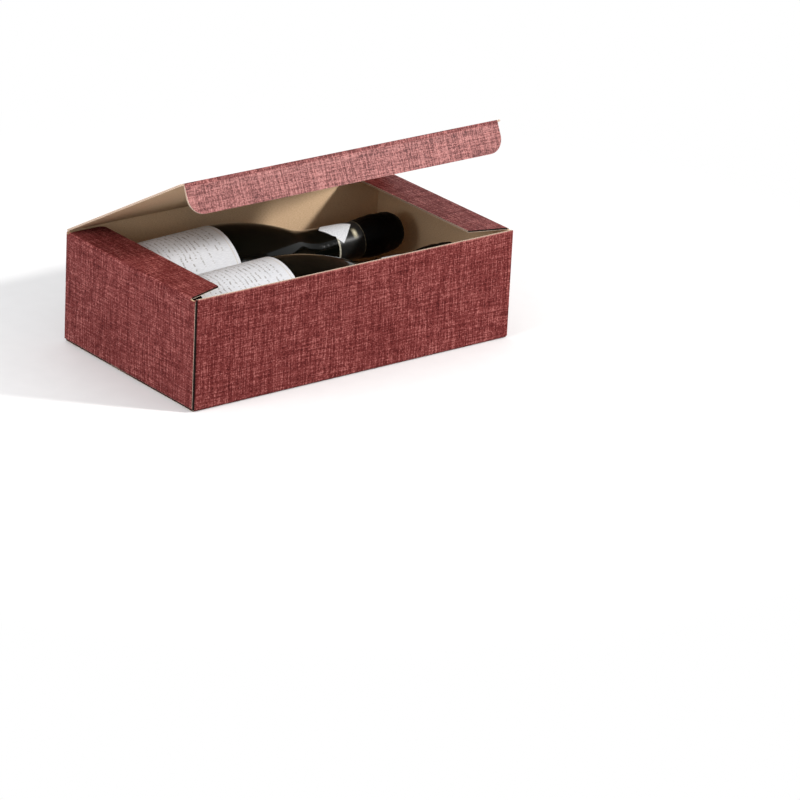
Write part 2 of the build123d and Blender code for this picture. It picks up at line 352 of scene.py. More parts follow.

# %% [markdown]
# The weave's height drives colour, gloss and bump together: the threads that are pressed up are rubbed paler
# and smoother, and the colour also holds painted shade in the hollows and a painted highlight on the threads.
# One recipe makes four linens, which differ in wear and painted sheen, gloss, bend and painted shade.

# %% Linen finishes
def linen_finish(name, paling, gloss=0.05, rounding=None, shade=None):
    """Linen paper. Paling lightens threads, rounding is a slow height that bends light, painted shade
    darkens.
    """
    finish, tree = new_finish(name)
    height = linen_height(tree)
    colour = linen_colour(tree, height)
    colour = blended(tree, paling(tree, height), colour, tint(186, 116, 110))
    # Painted shade, where a shade mask is given.
    if shade:
        colour = blended(tree, shade(tree), colour, tint(14, 5, 5))
    relief = maths(tree, "ADD", height, rounding(tree)) if rounding else height
    roughness = ranged(tree, height, 0.1, 0.56, 0.54, 0.36)
    coat(tree, colour, roughness, gloss, relief, strength=0.8, depth=0.0003)
    return finish


linen_walls = linen_finish("linen_walls", fold_wear_and_pale_lip, shade=seam_shade)
linen_lid = linen_finish("linen_lid", light_wear, gloss=0.1)
# The tuck flap's pale threads are a painted sheen.
linen_tuck = linen_finish("linen_tuck", painted_tuck_sheen, gloss=0.2, rounding=soft_fold)
linen_crease = linen_finish("linen_crease", crease_wear, gloss=0.12)
print("linens", [finish.name for finish in (linen_walls, linen_lid, linen_tuck, linen_crease)])

# %% [markdown]
# ## The kraft inside
# The inner liner is plain brown kraft: short fibres, a few dark flecks, and a faint ribbing from the flutes
# behind it. It is matt, so nearly all of its look is colour, with a very slight bump.

# %% Kraft finish
FLUTE = 0.0031
RIB_HEIGHT = 0.12


def flute_wave(tree, along):
    """The wave of the board's flutes, from -1 to 1, over a way in metres."""
    return maths(tree, "SINE", maths(tree, "MULTIPLY", along, 2 * math.pi / FLUTE))


def kraft_finish():
    """Bare brown liner paper."""
    finish, tree = new_finish("kraft_liner")
    fibres = grain(tree, 500, 2600, 2.0, detail=3.0)
    clouds = grain(tree, 30, 30, 5.0)
    flecks = grain(tree, 900, 900, 9.0, detail=1.0)
    colour = mottled(tree, fibres, (207, 174, 136), (228, 197, 162))
    colour = blended(tree, ranged(tree, clouds, 0.35, 0.7, 0.0, 0.3), colour, tint(211, 178, 142))
    colour = blended(tree, ranged(tree, flecks, 0.7, 0.76, 0.0, 0.5), colour, tint(140, 106, 74))
    ribs = maths(tree, "MULTIPLY", flute_wave(tree, map_ways(tree)[0]), RIB_HEIGHT)
    height = maths(tree, "ADD", ribs, fibres)
    coat(tree, colour, roughness=0.82, gloss=0.25, relief=height, strength=0.25, depth=0.0001)
    return finish


kraft_liner = kraft_finish()
print("flute pitch", FLUTE * 1000, "mm")

# %% [markdown]
# ## The cut edges
# Where the sheet was die cut, its section shows: two thin liners with a wavy medium between them. The
# flutes stand upright in the walls. A cut across them shows the wave. A cut along them, as at the ends of a
# wall, shows the pale near liner, with the slot of one flute and the far liner behind it under painted
# shade. Both edges are as narrow as the board is thick, so they are drawn as colour and bump on a map whose
# second direction runs through the board from face to face, and the shade in their hollows is painted.

# %% Cut edge finishes
WAVE_REACH = 0.31
LINER_TAPER = 1.2


def edge_map(tree):
    """The way along a cut edge in metres, and through the board from 0 to 1."""
    ways = map_ways(tree)
    return ways[0], maths(tree, "DIVIDE", ways[1], BOARD)


def edge_coat(tree, hollow, depth_of_shade, shade):
    """Pale torn paper, with painted shade where the edge is hollow."""
    fuzz = grain(tree, 1500, 2500, 4.0)
    pale = mottled(tree, fuzz, (205, 178, 156), (234, 214, 196))
    colour = blended(tree, maths(tree, "MULTIPLY", hollow, depth_of_shade), pale, tint(*shade))
    coat(tree, colour, roughness=0.9, gloss=0.2, relief=hollow, strength=0.5, depth=0.0003, pressed=True)


def fluted_edge_finish():
    """A cut across the flutes: liners, wavy medium and the shaded hollows between them."""
    finish, tree = new_finish("fluted_edge")
    along, depth = edge_map(tree)
    wave = maths(tree, "ADD", maths(tree, "MULTIPLY", flute_wave(tree, along), WAVE_REACH), 0.5)
    from_wave = maths(tree, "ABSOLUTE", maths(tree, "SUBTRACT", depth, wave))
    from_middle = maths(tree, "ABSOLUTE", maths(tree, "SUBTRACT", depth, 0.5))
    from_face = maths(tree, "SUBTRACT", 0.5, from_middle)
    from_paper = maths(tree, "MINIMUM", from_wave, maths(tree, "MULTIPLY", from_face, LINER_TAPER))
    edge_coat(tree, ranged(tree, from_paper, 0.12, 0.24), depth_of_shade=0.62, shade=(120, 84, 62))
    return finish


def slot_edge_finish():
    """A cut along the flutes: the pale near liner and painted shade over the slot behind it."""
    finish, tree = new_finish("slot_edge")
    depth = edge_map(tree)[1]
    ragged = maths(tree, "MULTIPLY", grain(tree, 420, 10, 7.0), 0.1)
    slot = ranged(tree, maths(tree, "ADD", depth, ragged), 0.13, 0.22)
    # Near-black painted shade over the slot and the far liner.
    edge_coat(tree, slot, depth_of_shade=0.99, shade=(12, 5, 4))
    return finish


fluted_edge = fluted_edge_finish()
slot_edge = slot_edge_finish()
CUT_EDGES = (fluted_edge, slot_edge)
print("cut edge", BOARD * 1000, "mm thick")

# %% [markdown]
# ## Card pieces from the solids
# The folded walls, bottom flaps, dust flaps and glue tab are one sheet, and the solid already has every
# fold. Modelling it again could only drift from it, so a card piece starts as a copy of the node's mesh
# with its corners joined. Each face then gets linen, kraft or cut edge by where it lies on the sheet, and a
# flat map in metres in the panel's own directions, so that threads run along the walls and the flutes cross
# the edges.

# %% Copying a node
JOIN = 1e-6
SMOOTH_DEGREES = 32


def link_piece(name, data):
    """A new object in the scene with the given mesh, lamp or camera."""
    piece = bpy.data.objects.new(name, data)
    bpy.context.scene.collection.objects.link(piece)
    return piece


def copy_of(node_name, piece_name):
    """A new object with the shape of a CAD node, its corners joined and its rounds smooth."""
    source = frame["nodes"][node_name].data
    mesh = bpy.data.meshes.new(piece_name)
    mesh.from_pydata([v.co.copy() for v in source.vertices], [], [tuple(p.vertices) for p in source.polygons])
    shape = bmesh.new()
    shape.from_mesh(mesh)
    bmesh.ops.remove_doubles(shape, verts=shape.verts, dist=JOIN)
    shape.to_mesh(mesh)
    shape.free()
    mesh.shade_smooth()
    mesh.set_sharp_from_angle(angle=math.radians(SMOOTH_DEGREES))
    piece = link_piece(piece_name, mesh)
    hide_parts(node_name)
    return piece


print("rounds are smooth up to", SMOOTH_DEGREES, "degrees")

# %% [markdown]
# The map drops the direction that a face looks along and keeps the other two. A cut edge is mapped along
# its longer way first, and then through the board, from the edge's lower side.

# %% Dressing a card piece
def dress_card(piece, directions, choose, finishes):
    """Gives each face of a card piece its finish and its flat map along the panel's directions."""
    mesh = piece.data
    for finish in finishes:
        mesh.materials.append(finish)
    layer = mesh.uv_layers.new(name=FLAT_MAP)
    for face in mesh.polygons:
        finish = choose(face.center, face.normal)
        face.material_index = finishes.index(finish)
        corners = [[axis.dot(mesh.vertices[i].co) for axis in directions] for i in face.vertices]
        facing = [abs(axis.dot(face.normal)) for axis in directions]
        flat = [axis for axis in range(3) if axis != facing.index(max(facing))]
        through = 0
        if finish in CUT_EDGES:
            spans = [max(c[axis] for c in corners) - min(c[axis] for c in corners) for axis in flat]
            flat = [flat[spans.index(max(spans))], flat[spans.index(min(spans))]]
            through = min(c[flat[1]] for c in corners)
        for loop, corner in zip(face.loop_indices, corners):
            layer.data[loop].uv = (corner[flat[0]], corner[flat[1]] - through)
    counts = {f.name: sum(p.material_index == i for p in mesh.polygons) for i, f in enumerate(finishes)}
    print(piece.name, counts)


UPRIGHT = [Vector((1, 0, 0)), Vector((0, 1, 0)), Vector((0, 0, 1))]
print("the box's own directions", [tuple(axis) for axis in UPRIGHT])

# %% [markdown]
# ## The box body
# Outside faces are linen: the four walls, the bottom, the rounded folds and the tops of the dust flaps,
# which are the end walls' outsides folded over. Inside faces are kraft. What is left is the thickness of
# the board. A face is sorted by where its middle lies, within a small allowance, and by where it looks. The
# limits on where it looks are cosines, so 1 is straight along a direction.

# %% Box body
NEAR = 0.00012
FOLD_DEPTH = 0.0025
SQUARE_ON = 0.9
LEVEL = 0.99
PLANE = 0.995
OUTWARD = 0.05


def box_finish(place, facing):
    """Which side of the sheet a face of the box body belongs to."""
    x, y, z = abs(place.x), abs(place.y), place.z
    out_x = facing.x * math.copysign(1, place.x)
    out_y = facing.y * math.copysign(1, place.y)
    outward = max(out_x, out_y, -facing.z)
    on_outside = x > HALF_LENGTH - NEAR or y > HALF_DEPTH - NEAR or z < NEAR
    if on_outside and outward > SQUARE_ON:
        return linen_walls
    turning = max(abs(facing.x), abs(facing.y), abs(facing.z)) < PLANE
    at_skin = x > HALF_LENGTH - FOLD_DEPTH or y > HALF_DEPTH - FOLD_DEPTH or z < FOLD_DEPTH
    if turning and at_skin and outward > OUTWARD:
        return linen_walls
    if facing.z > SQUARE_ON and z > WALL_TOP - NEAR and y < HALF_DEPTH - BOARD - NEAR:
        return linen_walls
    if facing.z < -SQUARE_ON and BOARD - NEAR < z < BOARD + NEAR:
        return linen_walls
    inner_x = HALF_LENGTH - 2 * BOARD - NEAR < x < HALF_LENGTH - BOARD + NEAR and out_x < -SQUARE_ON
    inner_y = abs(y - (HALF_DEPTH - BOARD)) < NEAR and out_y < -SQUARE_ON
    level = abs(facing.z) > LEVEL and z < WALL_TOP - NEAR
    if inner_x or inner_y or level:
        return kraft_liner
    along_flutes = abs(facing.y) > SQUARE_ON or (abs(facing.x) > SQUARE_ON and z < BOARD)
    return slot_edge if along_flutes else fluted_edge


box_card = copy_of("box_body", "box_card")
dress_card(box_card, UPRIGHT, box_finish, [linen_walls, kraft_liner, fluted_edge, slot_edge])
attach(box_card, "box")

# %% [markdown]
# ## The lid and its tuck flap
# Both are flat panels that stand at an angle, so their maps use their own directions: along the box, away
# from the fold, and out of the linen side. A face belongs to the side that it looks to.

# %% Lid and tuck flap
def panel_finish(outward, linen):
    """The rule for a flat panel whose linen side looks outward."""
    def choose(place, facing):
        side = facing.dot(outward)
        if abs(side) > SQUARE_ON:
            return linen if side > 0 else kraft_liner
        return fluted_edge
    return choose


lid_ways = [UPRIGHT[0], lid_away, lid_out]
lid_card = copy_of("lid_panel", "lid_card")
dress_card(lid_card, lid_ways, panel_finish(lid_out, linen_lid), [linen_lid, kraft_liner, fluted_edge])
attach(lid_card, "lid")

tuck_ways = [UPRIGHT[0], tuck_away, tuck_out]
tuck_card = copy_of("tuck_flap", "tuck_card")
dress_card(tuck_card, tuck_ways, panel_finish(tuck_out, linen_tuck), [linen_tuck, kraft_liner, fluted_edge])
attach(tuck_card, "tuck")

# %% [markdown]
# ## The creases
# On the real box the linen paper runs on over each fold. The solids need a hair of room there to turn, so a
# thin skin of paper is laid over the round of the fold. Its section is an arc about the fold's axis, with a
# lap on each panel, a hair proud of the linen outside and sunk into the board inside.

# %% Section of a crease
SKIN_PROUD = 0.00003
SKIN_SUNK = 0.00012
SKIN_OUT = BOARD / 2 + SKIN_PROUD
SKIN_IN = BOARD / 2 - SKIN_SUNK
SKIN_LAP = 0.0024
SKIN_STEPS = 10


def crease_line(radius, first_away, first_out, second_away, second_out):
    """One side of the section: a lap on the first panel, an arc over the fold, a lap on the second panel."""
    turn = first_out.angle(second_out)
    line = [first_out * radius + first_away * SKIN_LAP]
    for step in range(SKIN_STEPS + 1):
        share = step / SKIN_STEPS
        way = first_out * math.sin((1 - share) * turn) + second_out * math.sin(share * turn)
        line.append(way / math.sin(turn) * radius)
    line.append(second_out * radius + second_away * SKIN_LAP)
    return line


print("crease skins are", round((SKIN_OUT - SKIN_IN) * 1000, 3), "mm thick")

# %% [markdown]
# The section is drawn out along the fold into a closed strip. Its arc turns from the first panel's outward
# direction to the second's, so one end of the section lies on the first panel and the other end on the
# second.

# %% Crease skins
CREASE_SHARP_DEGREES = 50
LID_INSET = 0.003
TUCK_INSET = 0.0041


def closed_mesh(shape, name, sharp_degrees):
    """A mesh from an edited shape, with its faces turned outward and its edges sharp over an angle."""
    bmesh.ops.recalc_face_normals(shape, faces=shape.faces)
    mesh = bpy.data.meshes.new(name)
    shape.to_mesh(mesh)
    shape.free()
    mesh.set_sharp_from_angle(angle=math.radians(sharp_degrees))
    return mesh


def crease_skin(name, pivot, half_width, *panel_ways):
    """A thin closed strip along X over a fold, from one panel's linen side to the other's."""
    outer = crease_line(SKIN_OUT, *panel_ways)
    ring = outer + crease_line(SKIN_IN, *panel_ways)[::-1]
    runs = [0.0]
    for before, after in zip(ring, ring[1:]):
        runs.append(runs[-1] + (after - before).length)
    shape = bmesh.new()
    layer = shape.loops.layers.uv.new(FLAT_MAP)
    left = [shape.verts.new(pivot + point + Vector((-half_width, 0, 0))) for point in ring]
    right = [shape.verts.new(pivot + point + Vector((half_width, 0, 0))) for point in ring]
    count = len(ring)
    for i in range(count):
        j = (i + 1) % count
        face = shape.faces.new((left[i], right[i], right[j], left[j]))
        face.smooth = True
        last = runs[j] if j else runs[i]
        corners = ((-1, runs[i]), (1, runs[i]), (1, last), (-1, last))
        for loop, (side, run) in zip(face.loops, corners):
            loop[layer].uv = (side * half_width, run)
    for k in range(len(outer) - 1):
        shape.faces.new((left[k], left[k + 1], left[count - 2 - k], left[count - 1 - k]))
        shape.faces.new((right[k + 1], right[k], right[count - 1 - k], right[count - 2 - k]))
    mesh = closed_mesh(shape, name, CREASE_SHARP_DEGREES)
    mesh.materials.append(linen_crease)
    piece = link_piece(name, mesh)
    print(name, len(mesh.polygons), "faces")
    return piece


wall_away = Vector((0, 0, -1))
wall_out = Vector((0, 1, 0))
lid_crease = crease_skin(
    "lid_crease", lid_pivot, HALF_LENGTH - LID_INSET, wall_away, wall_out, lid_away, lid_out
)
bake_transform(lid_crease)

tuck_crease = crease_skin(
    "tuck_crease", tuck_pivot, HALF_LENGTH - TUCK_INSET, -lid_away, lid_out, tuck_away, tuck_out
)
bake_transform(tuck_crease)

# %% [markdown]
# ## The bottles lie in their own direction
# Each bottle rests on the sprung end flap, so its neck points up by two degrees. Its paper and foil are
# easiest to lay out along the bottle: how far from its base, and how far round it. Two helpers turn a point
# of the scene into the bottle's own place and back.

# %% Bottle directions
SIDES = ("rear", "front")
TILT = math.radians(2.1)
GLASS_RADIUS = 0.0426
END_GAP = 0.0004
FLAP_GAP = 0.0003
SEAT = 0.0001
bottle_along = Vector((math.cos(TILT), 0, math.sin(TILT)))
bottle_up = Vector((-math.sin(TILT), 0, math.cos(TILT)))
bottle_side = Vector((0, 1, 0))
bottle_base = {}
from_wall = BOARD + END_GAP + GLASS_RADIUS * math.sin(TILT)
base_height = 2 * BOARD + FLAP_GAP + (GLASS_RADIUS + SEAT) / math.cos(TILT) + math.tan(TILT) * from_wall
for side in SIDES:
    low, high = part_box(f"{side}_bottle_glass")
    bottle_base[side] = Vector((from_wall + BOARD - HALF_LENGTH, (low.y + high.y) / 2, base_height))
print({side: [round(x, 4) for x in base] for side, base in bottle_base.items()})


def in_bottle(side, point):
    """A point's way along the bottle, to its side and up from its axis."""
    offset = point - bottle_base[side]
    return Vector((offset.dot(bottle_along), offset.dot(bottle_side), offset.dot(bottle_up)))


def from_bottle(side, along, across, up):
    """The scene's point for a place in the bottle."""
    return bottle_base[side] + bottle_along * along + bottle_side * across + bottle_up * up


# %% [markdown]
# ## The bottle glass
# The glass is so dark a green, with wine behind it, that it reads as black with clear reflections. Real
# transmission would cost much light and show nothing, so it is an opaque deep green, with the faint
# waviness of moulded glass in its gloss.

# %% Glass
def glass_finish():
    """Dark moulded glass, full of wine."""
    finish, tree = new_finish("dark_bottle_glass")
    place = add(tree, "TexCoord").outputs["Object"]
    wavy = add(tree, "TexNoise", {"Vector": place, "Scale": 38.0, "Detail": 2.0}).outputs["Fac"]
    fine = add(tree, "TexNoise", {"Vector": place, "Scale": 420.0, "Detail": 1.0}).outputs["Fac"]
    colour = blended(tree, ranged(tree, wavy, 0.35, 0.65), tint(3, 4, 3), tint(6, 7, 5))
    roughness = ranged(tree, fine, 0.3, 0.7, 0.05, 0.12)
    coat(tree, colour, roughness, gloss=0.16, relief=wavy, strength=0.08, depth=0.0006)
    return finish


dark_glass = glass_finish()
for side in SIDES:
    glass = copy_of(f"{side}_bottle_glass", f"{side}_glass")
    glass.data.materials.append(dark_glass)
    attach(glass, "box")
    print(glass.name, len(glass.data.polygons), "faces")

# %% [markdown]
# ## The foil hood
# A sparkling bottle's hood is thin foil pressed by hand over the cork and its wire cage. Its main form is
# turned: a skirt that swells over the cork, a sloping crown, a round rim and a flat tip. The outline takes
# one arc through three points for the swelling and one for the rim, so only those few places have to be
# named.

# %% Hood outline
HOOD_START = 0.257
HOOD_END = 0.301
SKIRT_RADIUS = 0.0163
SWELL_PLACE = 0.27988
SWELL_RADIUS = 0.0181
CROWN_PLACE = 0.296
CROWN_RADIUS = 0.0168
TIP_RADIUS = 0.0132
RIM_ROUND = 0.0025
SWELL_STEPS = 22
RIM_STEPS = 6
TIP_SHARES = (0.75, 0.4)


def round_through(first, middle, last):
    """Centre and radius of the circle through three points of an outline."""
    points = (first, middle, last)
    squares = [x * x + y * y for x, y in points]
    falls = [points[k - 2][1] - points[k - 1][1] for k in range(3)]
    runs = [points[k - 1][0] - points[k - 2][0] for k in range(3)]
    double = 2 * sum(point[0] * fall for point, fall in zip(points, falls))
    x = sum(square * fall for square, fall in zip(squares, falls)) / double
    y = sum(square * run for square, run in zip(squares, runs)) / double
    return x, y, math.hypot(first[0] - x, first[1] - y)


def hood_outline():
    """Half of the hood's outside, as places along the bottle and radii, from the skirt to the tip."""
    skirt = (HOOD_START, SKIRT_RADIUS)
    middle_x, middle_y, arc = round_through(skirt, (SWELL_PLACE, SWELL_RADIUS), (CROWN_PLACE, CROWN_RADIUS))
    outline = []
    for step in range(SWELL_STEPS + 1):
        along = HOOD_START + (CROWN_PLACE - HOOD_START) * step / SWELL_STEPS
        outline.append((along, middle_y + math.sqrt(arc**2 - (along - middle_x) ** 2)))
    slope = math.atan2(CROWN_RADIUS - TIP_RADIUS, HOOD_END - CROWN_PLACE)
    rim_place = HOOD_END - RIM_ROUND
    rim_radius = TIP_RADIUS - RIM_ROUND * math.tan((math.pi / 2 - slope) / 2)
    for step in range(RIM_STEPS + 1):
        angle = slope + (math.pi / 2 - slope) * step / RIM_STEPS
        outline.append((rim_place + RIM_ROUND * math.sin(angle), rim_radius + RIM_ROUND * math.cos(angle)))
    outline += [(HOOD_END, rim_radius * share) for share in TIP_SHARES]
    return outline


print("hood outline of", len(hood_outline()), "points")

# %% [markdown]
# Pressed foil is never a clean turning: the skirt is pleated, a groove runs under the cork, the wires of
# the cage stand out as ridges, and the foil between them is crumpled. Each of these only pushes the outline
# in, never out, so the hood stays in the space that the solid has. They are shapes and not bump, since they
# break the hood's edge against the light. Their places are shares of the hood's length, and a pair of shares
# is where a zone starts and where it has its full depth.

# %% Pressing the foil in
SKIRT = (0.5, 0.0)
SKIRT_HEM = 0.02
PLEATS = 23
PLEAT_DEPTH = 0.00036
CAGE_LOW = (0.58, 0.74)
CAGE_HIGH = (0.97, 0.91)
CAGE_DEPTH = 0.0007
WIRES = 4
WIRE_TURN = 0.6
WIRE_WIDTH = 0.05
GROOVE = 0.6
GROOVE_HALF = 0.05
GROOVE_DEPTH = 0.0004
CRUMPLE_LOW = (0.01, 0.21)
CRUMPLE_HIGH = (0.995, 0.905)
CRUMPLE_ALONG = 260
CRUMPLE_ROUND = 5.2
CRUMPLE_DEPTH = 0.0004


def rising(value, start, end):
    """0 at a start and 1 at an end, with a straight rise between them."""
    return max(0.0, min(1.0, (value - start) / (end - start)))


def pressed_in(along, angle):
    """How far the foil is pushed in at a place, in metres."""
    way = (along - HOOD_START) / (HOOD_END - HOOD_START)
    skirt = rising(way, *SKIRT) if way > SKIRT_HEM else 0.0
    pleat = 0.5 + 0.5 * math.cos(PLEATS * angle + 1.7 * math.sin(4 * angle) + 7 * way)
    cage = rising(way, *CAGE_LOW) * rising(way, *CAGE_HIGH)
    wire = math.exp(-(math.sin(WIRES / 2 * angle + WIRE_TURN) ** 2) / WIRE_WIDTH)
    groove = math.exp(-(((way - GROOVE) / GROOVE_HALF) ** 2))
    place = Vector((along * CRUMPLE_ALONG, math.cos(angle) * CRUMPLE_ROUND, math.sin(angle) * CRUMPLE_ROUND))
    crumple = max(0.0, 0.5 + noise.noise(place)) + 0.5 * abs(noise.noise(place * 2.3))
    crumple *= rising(way, *CRUMPLE_HIGH) * rising(way, *CRUMPLE_LOW)
    folds = PLEAT_DEPTH * skirt * pleat + CAGE_DEPTH * cage * (1 - wire)
    return folds + GROOVE_DEPTH * groove + CRUMPLE_DEPTH * crumple


print("foil pressed in by up to", round(CAGE_DEPTH * 1000, 2), "mm between the wires")

# %% [markdown]
# The pressed outline is turned into rings of points, and the rings are joined. The hood is closed on the
# inside by the hollow that the neck fills, so the mesh has no open edge.

# %% Hood mesh
NECK_HOLLOW = ((0.29005, 0.01395), (HOOD_START, 0.0159))
ROUND_STEPS = 144
HOOD_MAP_RADIUS = 0.018
HOOD_SHARP_DEGREES = 38


def hood_ring(shape, side, along, radius, outside):
    """One ring of the hood's points, or the one point on its axis."""
    if radius == 0:
        return [shape.verts.new(from_bottle(side, along, 0, 0))]
    ring = []
    for step in range(ROUND_STEPS):
        angle = 2 * math.pi * step / ROUND_STEPS
        real = radius - (pressed_in(along, angle) if outside else 0)
        place = from_bottle(side, along, real * math.cos(angle), real * math.sin(angle))
        ring.append(shape.verts.new(place))
    return ring


def hood_mesh(side):
    """The turned and crumpled hood of one bottle, closed round the neck that it covers."""
    shape = bmesh.new()
    layer = shape.loops.layers.uv.new(FLAT_MAP)
    outline = hood_outline()
    deepest, mouth = NECK_HOLLOW
    profile = [mouth] + outline + [(HOOD_END, 0.0), (deepest[0], 0.0), deepest]
    rings = []
    for index, (along, radius) in enumerate(profile):
        rings.append(hood_ring(shape, side, along, radius, 0 < index <= len(outline)))
    rings.append(rings[0])
    places = [along for along, radius in profile] + [profile[0][0]]
    for k in range(len(rings) - 1):
        first, second = rings[k], rings[k + 1]
        if len(first) == 1 and len(second) == 1:
            continue
        for step in range(ROUND_STEPS):
            after = (step + 1) % ROUND_STEPS
            near = [first[0]] if len(first) == 1 else [first[step], first[after]]
            far = [second[0]] if len(second) == 1 else [second[after], second[step]]
            ahead = (first[after % len(first)], second[after % len(second)])
            face = shape.faces.new(near + far)
            face.smooth = True
            for loop in face.loops:
                row = k if loop.vert in near else k + 1
                turn = step + 1 if loop.vert in ahead else step
                loop[layer].uv = (places[row], turn / ROUND_STEPS * 2 * math.pi * HOOD_MAP_RADIUS)
    return closed_mesh(shape, f"{side}_foil_hood", HOOD_SHARP_DEGREES)


print("hood rings of", ROUND_STEPS, "points")

# %% [markdown]
# The foil is black lacquer with a dull lustre, and tiny creases break its gloss. A hair of the skirt's edge
# is left uncoloured and shows as dim bare metal.

# %% Foil hoods
BARE_EDGE = 0.0005
BARE_FADE = 0.0004


def foil_finish():
    """Black lacquered foil with a bare edge at the skirt."""
    finish, tree = new_finish("black_hood_foil")
    along = map_ways(tree)[0]
    creases = grain(tree, 700, 300, 3.0, detail=3.0)
    edge = ranged(tree, along, HOOD_START + BARE_EDGE + BARE_FADE, HOOD_START + BARE_EDGE)
    lacquer = mottled(tree, creases, (1, 1, 1), (4, 4, 4))
    bare_metal_and_glint = mottled(tree, creases, (60, 56, 46), (110, 104, 88))
    colour = blended(tree, edge, lacquer, bare_metal_and_glint)
    roughness = ranged(tree, creases, 0.3, 0.7, 0.42, 0.56)
    coat(tree, colour, roughness, gloss=0.08, relief=creases, strength=0.3, depth=0.0004)
    return finish


black_foil = foil_finish()
for side in SIDES:
    hood = link_piece(f"{side}_foil_hood", hood_mesh(side))
    hood.data.materials.append(black_foil)
    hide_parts(f"{side}_bottle_foil_hood")
    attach(hood, "box")
    print(hood.name, len(hood.data.polygons), "faces")

# %% [markdown]
# ## The paper labels
# The label is a sheet glued round the upper side of the glass, with a fine border and rows of small print.
# The print is plain here: rows of broken grey bars give the eye the same rhythm. Its map runs along the
# bottle and round it in metres, with the middle of the sheet at zero. The sheet is turned a little about
# the bottle, so its map is turned as well.

# %% Label map
LABEL_TURN = math.radians(-8)
LABEL_MIDDLE = 0.068
LABEL_HALF = 0.045
LABEL_HALF_ROUND = GLASS_RADIUS * math.radians(64)


def lay_round(piece, side, turn, radius):
    """Maps a piece of paper along the bottle and round it, with zero at the sheet's middle."""
    mesh = piece.data
    layer = mesh.uv_layers.new(name=FLAT_MAP)
    for loop in mesh.loops:
        place = in_bottle(side, mesh.vertices[loop.vertex_index].co)
        angle = math.atan2(place.y, place.z) - turn
        layer.data[loop.index].uv = (place.x, angle * radius)


print("label", round(LABEL_HALF * 2000), "mm along and", round(LABEL_HALF_ROUND * 2000), "mm round")

# %% [markdown]
# The bars are made by stepping the map into rows, swaying the rows a little and cutting each one by noise,
# so no two rows are alike. White noise gives each row its own length.

# %% Bars of print
ROW = 0.0046
ROW_SWAY = 0.7
BAR_CELLS = 760.0
ROW_SHIFT = 7.3
SHORTEST_ROW = 0.3
LONGER_BY = 0.45


def printed_bars(tree, along, across, far_across, sway):
    """1 on the bars of print and 0 between them."""
    row = maths(tree, "ADD", maths(tree, "DIVIDE", along, ROW), maths(tree, "MULTIPLY", sway, ROW_SWAY))
    number = maths(tree, "FLOOR", row)
    height = maths(tree, "FRACT", row)
    stroke = maths(tree, "MULTIPLY", ranged(tree, height, 0.26, 0.32), ranged(tree, height, 0.62, 0.56))
    place = {0: maths(tree, "MULTIPLY", across, BAR_CELLS), 1: maths(tree, "MULTIPLY", number, ROW_SHIFT)}
    lines = add(tree, "CombineXYZ", place).outputs[0]
    broken = add(tree, "TexNoise", {"Vector": lines, "Scale": 1.0, "Detail": 1.0}).outputs["Fac"]
    bars = maths(tree, "MULTIPLY", stroke, ranged(tree, broken, 0.46, 0.5))
    length = add(tree, "TexWhiteNoise", {"W": number}, noise_dimensions="1D").outputs["Value"]
    reach = maths(tree, "MULTIPLY_ADD", length, LONGER_BY, SHORTEST_ROW)
    return maths(tree, "MULTIPLY", bars, maths(tree, "LESS_THAN", far_across, reach))


print("rows of print every", ROW * 1000, "mm")

# %% [markdown]
# The border keeps a share of the sheet's size from its edge. The ink is uneven, as on laid paper, so the
# sway that moves the rows also thins the grey.

# %% Labels
BORDER = (0.925, 0.008, 0.006)
PRINTED_SHARE = 0.8


def inside(tree, value, middle, half, soft=0.0002):
    """1 within a band round a middle, 0 outside it, with a soft edge."""
    gap = maths(tree, "ABSOLUTE", maths(tree, "SUBTRACT", value, middle))
    return ranged(tree, gap, half + soft, half)


def label_finish():
    """Off-white label paper with a border and rows of bars."""
    finish, tree = new_finish("printed_label_paper")
    ways = map_ways(tree)
    along, across = ways[0], ways[1]
    laid = grain(tree, 260, 2200, 6.0, detail=3.0)
    paper = mottled(tree, laid, (201, 204, 210), (218, 221, 226))
    from_middle = maths(tree, "ABSOLUTE", maths(tree, "SUBTRACT", along, LABEL_MIDDLE))
    far_along = maths(tree, "DIVIDE", from_middle, LABEL_HALF)
    far_across = maths(tree, "DIVIDE", maths(tree, "ABSOLUTE", across), LABEL_HALF_ROUND)
    border = inside(tree, maths(tree, "MAXIMUM", far_along, far_across), *BORDER)
    colour = blended(tree, maths(tree, "MULTIPLY", border, 0.4), paper, tint(186, 176, 150))
    sway = grain(tree, 70, 240, 11.0, detail=1.0)
    bars = printed_bars(tree, along, across, far_across, sway)
    kept = maths(tree, "MULTIPLY", bars, maths(tree, "LESS_THAN", far_along, PRINTED_SHARE))
    ink = maths(tree, "MULTIPLY", kept, ranged(tree, sway, 0.3, 0.7, 0.35, 0.8))
    colour = blended(tree, ink, colour, tint(122, 118, 112))
    coat(tree, colour, roughness=0.62, gloss=0.35, relief=laid, strength=0.15, depth=0.0001)
    return finish


label_paper = label_finish()
for side in SIDES:
    label = copy_of(f"{side}_bottle_label", f"{side}_label")
    lay_round(label, side, LABEL_TURN, GLASS_RADIUS)
    label.data.materials.append(label_paper)
    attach(label, "box")
    print(label.name, len(label.data.polygons), "faces")

# %% [markdown]
# ## The neck collars
# Below the hood a dark band wraps the neck, with a silver line along its lower edge. A white lozenge lies
# on its upper side, and its lower corner is the point that the solid has. On the band's near side a small
# soft glint is painted in pale gold, a painted highlight. One map along and round the neck serves them all.
# The glint is given as a band each way: its middle, half width and soft edge.

# %% Collars
NECK_RADIUS = 0.0172
BAND_EDGE = 0.22855
LINE_INSET = 0.0009
LINE_HALF = 0.0008
LOZENGE_LOW = 0.217
LOZENGE_HIGH = 0.2515
LOZENGE_HALF_ROUND = 0.0176
GLINT_ALONG = (0.2488, 0.0002, 0.0032)
GLINT_ROUND = (-0.011, 0.0004, 0.0062)


